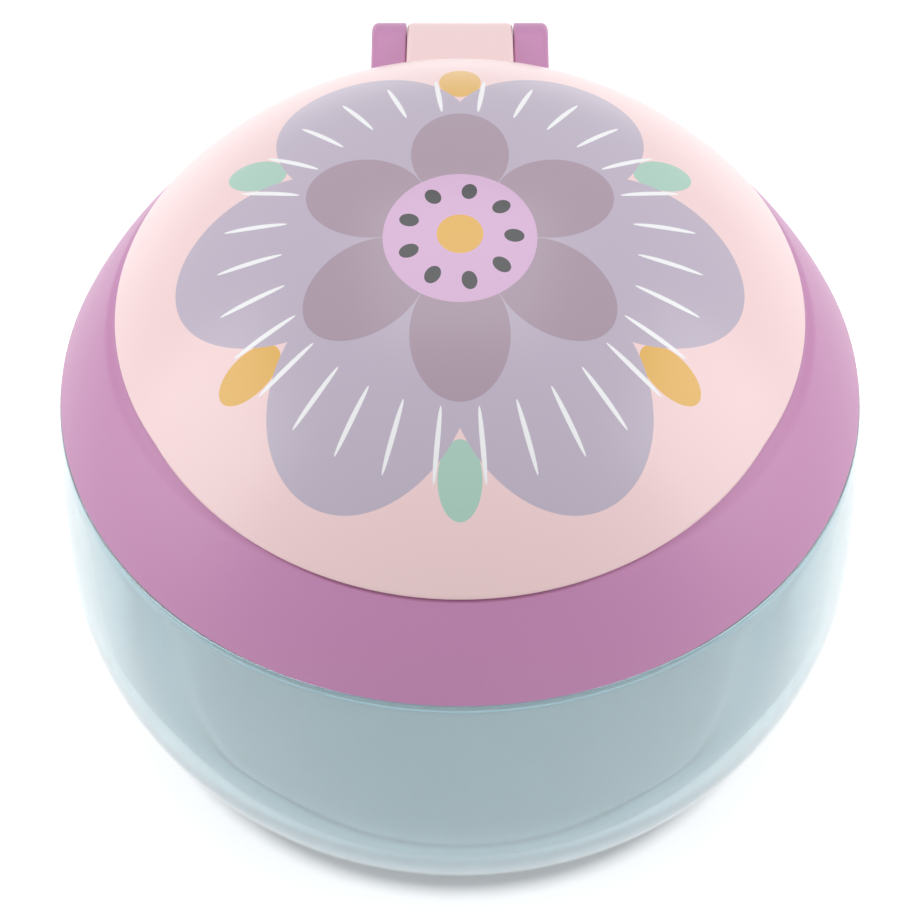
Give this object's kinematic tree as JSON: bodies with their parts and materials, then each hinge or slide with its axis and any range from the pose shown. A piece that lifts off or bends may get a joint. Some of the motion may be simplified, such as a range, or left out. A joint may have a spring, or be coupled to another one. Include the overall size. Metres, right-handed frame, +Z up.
{
  "type": "toddler snack container",
  "caption": "Squat round snack cup with a screw-on domed collar, a soft flap insert in its mouth and a hinged dome lid that snaps shut.",
  "frame": {"origin": "middle of the flat base that the cup stands on", "axes": "+Z up along the cup's axis, +Y from the middle towards the lid's hinge, +X to the right seen from the front"},
  "size_m": [0.0918, 0.0941, 0.0781],
  "materials": {
    "cup_aqua": "translucent, glossy blown polypropylene",
    "seal_silicone": "translucent white silicone",
    "collar_purple": "satin moulded polypropylene",
    "pin_steel": "drawn stainless wire",
    "insert_soft": "matt thermoplastic elastomer",
    "lid_pink": "satin moulded polypropylene",
    "label_film": "in-mould label with a printed blossom"
  },
  "bodies": {
    "cup": {"cup": "cup_aqua"},
    "seal": {"cup_seal": "seal_silicone"},
    "collar": {"collar": "collar_purple", "hinge_pin": "pin_steel"},
    "insert": {"flap_ring": "insert_soft"},
    "flap_1": {"flap_1": "insert_soft"},
    "flap_2": {"flap_2": "insert_soft"},
    "flap_3": {"flap_3": "insert_soft"},
    "flap_4": {"flap_4": "insert_soft"},
    "flap_5": {"flap_5": "insert_soft"},
    "flap_6": {"flap_6": "insert_soft"},
    "flap_7": {"flap_7": "insert_soft"},
    "flap_8": {"flap_8": "insert_soft"},
    "lid": {"lid_shell": "lid_pink", "lid_label": "label_film"}
  },
  "joints": [
    {"name": "collar_lift", "type": "slide", "parent": "cup", "child": "seal", "axis": [0, 0, 1], "range_m": [0, 0.008]},
    {"name": "collar_turn", "type": "hinge", "parent": "seal", "child": "collar", "pos_m": [0, 0, 0], "axis": [0, 0, 1], "range_deg": [0, 240]},
    {"name": "lid_open", "type": "hinge", "parent": "collar", "child": "lid", "pos_m": [0, 0.04429, 0.054], "axis": [-1, 0, 0], "range_deg": [0, 120]},
    {"name": "insert_pull", "type": "slide", "parent": "collar", "child": "insert", "axis": [0, 0, -1], "range_m": [0, 0.008]},
    {"name": "flap_1_bend", "type": "hinge", "parent": "insert", "child": "flap_1", "pos_m": [0, -0.02317, 0.0555], "axis": [-1, 0, 0], "range_deg": [-40, 65], "stiffness_Nm_per_rad": 0.002},
    {"name": "flap_2_bend", "type": "hinge", "parent": "insert", "child": "flap_2", "pos_m": [0.01638, -0.01638, 0.0555], "axis": [-0.7071, -0.7071, 0], "range_deg": [-40, 65], "stiffness_Nm_per_rad": 0.002},
    {"name": "flap_3_bend", "type": "hinge", "parent": "insert", "child": "flap_3", "pos_m": [0.02317, 0, 0.0555], "axis": [0, -1, 0], "range_deg": [-40, 65], "stiffness_Nm_per_rad": 0.002},
    {"name": "flap_4_bend", "type": "hinge", "parent": "insert", "child": "flap_4", "pos_m": [0.01638, 0.01638, 0.0555], "axis": [0.7071, -0.7071, 0], "range_deg": [-40, 65], "stiffness_Nm_per_rad": 0.002},
    {"name": "flap_5_bend", "type": "hinge", "parent": "insert", "child": "flap_5", "pos_m": [0, 0.02317, 0.0555], "axis": [1, 0, 0], "range_deg": [-40, 65], "stiffness_Nm_per_rad": 0.002},
    {"name": "flap_6_bend", "type": "hinge", "parent": "insert", "child": "flap_6", "pos_m": [-0.01638, 0.01638, 0.0555], "axis": [0.7071, 0.7071, 0], "range_deg": [-40, 65], "stiffness_Nm_per_rad": 0.002},
    {"name": "flap_7_bend", "type": "hinge", "parent": "insert", "child": "flap_7", "pos_m": [-0.02317, 0, 0.0555], "axis": [0, 1, 0], "range_deg": [-40, 65], "stiffness_Nm_per_rad": 0.002},
    {"name": "flap_8_bend", "type": "hinge", "parent": "insert", "child": "flap_8", "pos_m": [-0.01638, -0.01638, 0.0555], "axis": [-0.7071, 0.7071, 0], "range_deg": [-40, 65], "stiffness_Nm_per_rad": 0.002}
  ],
  "couplings": [
    {"joint": "collar_lift", "follows": "collar_turn", "m_per_rad": 0.0019099}
  ]
}
